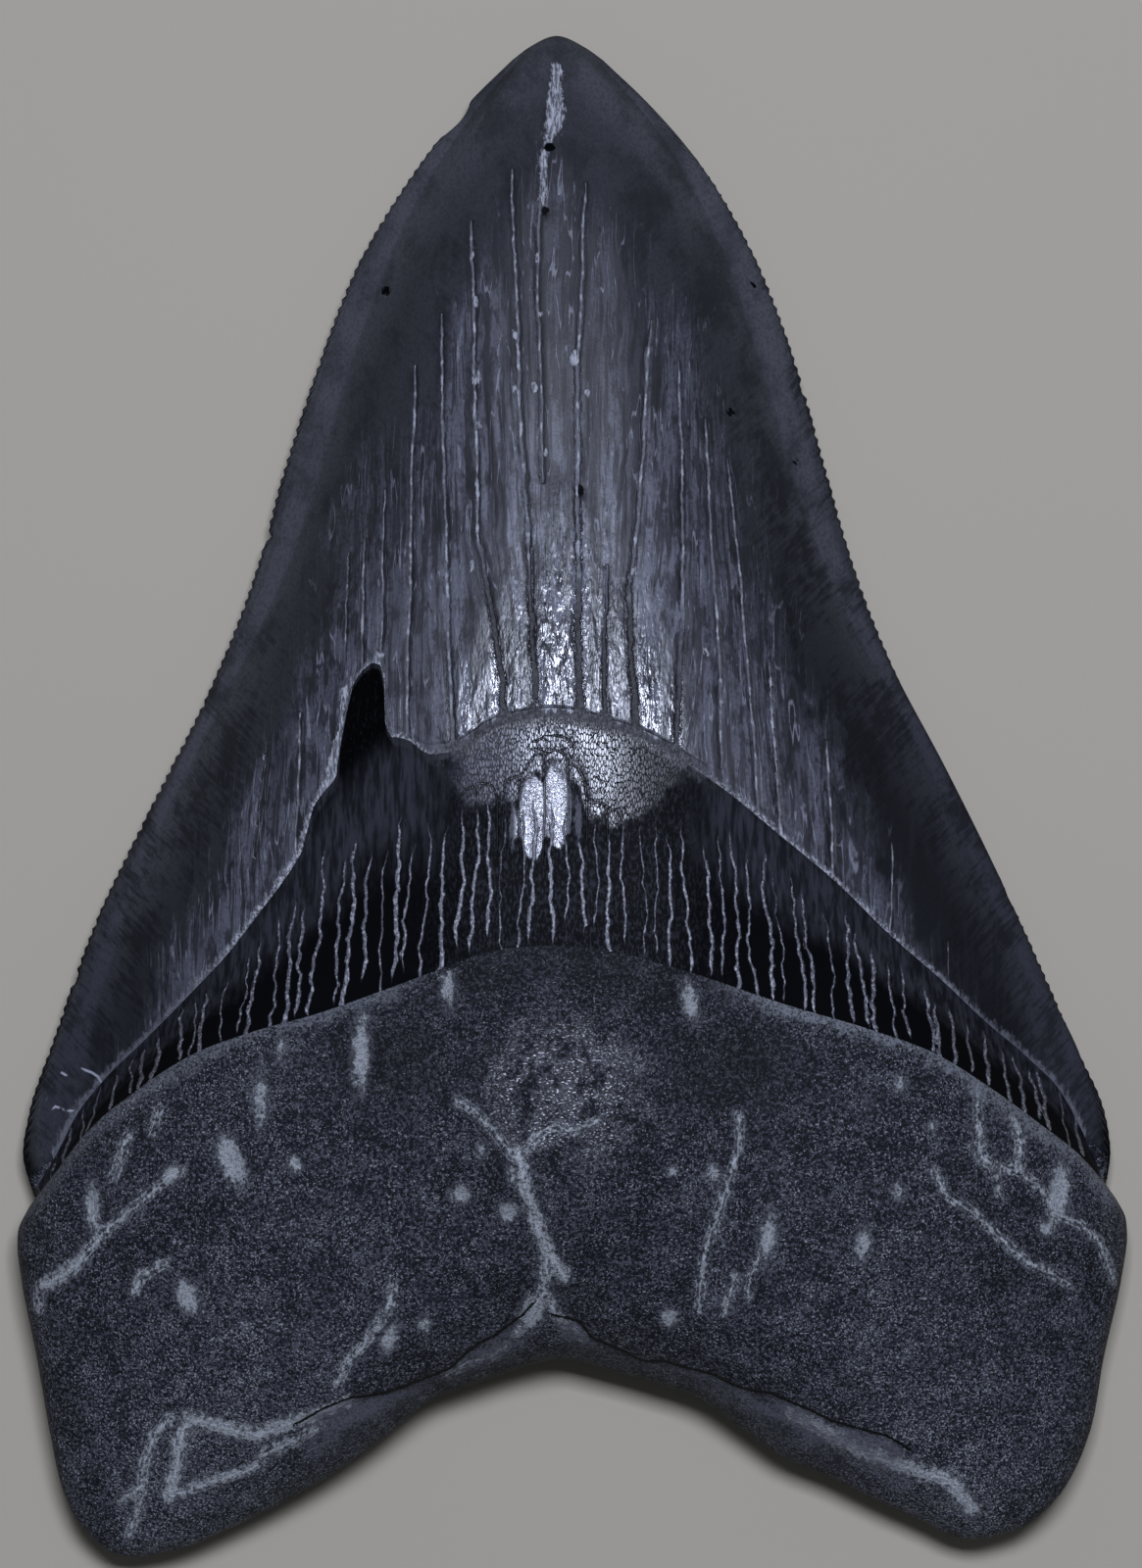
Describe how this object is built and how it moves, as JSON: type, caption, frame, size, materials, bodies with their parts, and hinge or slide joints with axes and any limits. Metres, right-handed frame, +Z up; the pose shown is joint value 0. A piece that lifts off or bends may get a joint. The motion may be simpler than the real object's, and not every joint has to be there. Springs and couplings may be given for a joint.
{
  "type": "megalodon tooth",
  "caption": "Triangular fossil shark tooth with serrated cutting edges, a dark band under the enamel and a thick forked root, lying on its flatter face.",
  "frame": {"origin": "on the surface that the tooth rests on, under the middle of its box", "axes": "+Y from the root to the tip, +Z up out of the rounder (lingual) face, +X to the right as that face is seen with the tip up"},
  "size_m": [0.09, 0.1238, 0.0242],
  "materials": {
    "fossil": "satin"
  },
  "bodies": {
    "root": {"tooth": "fossil"}
  },
  "joints": []
}
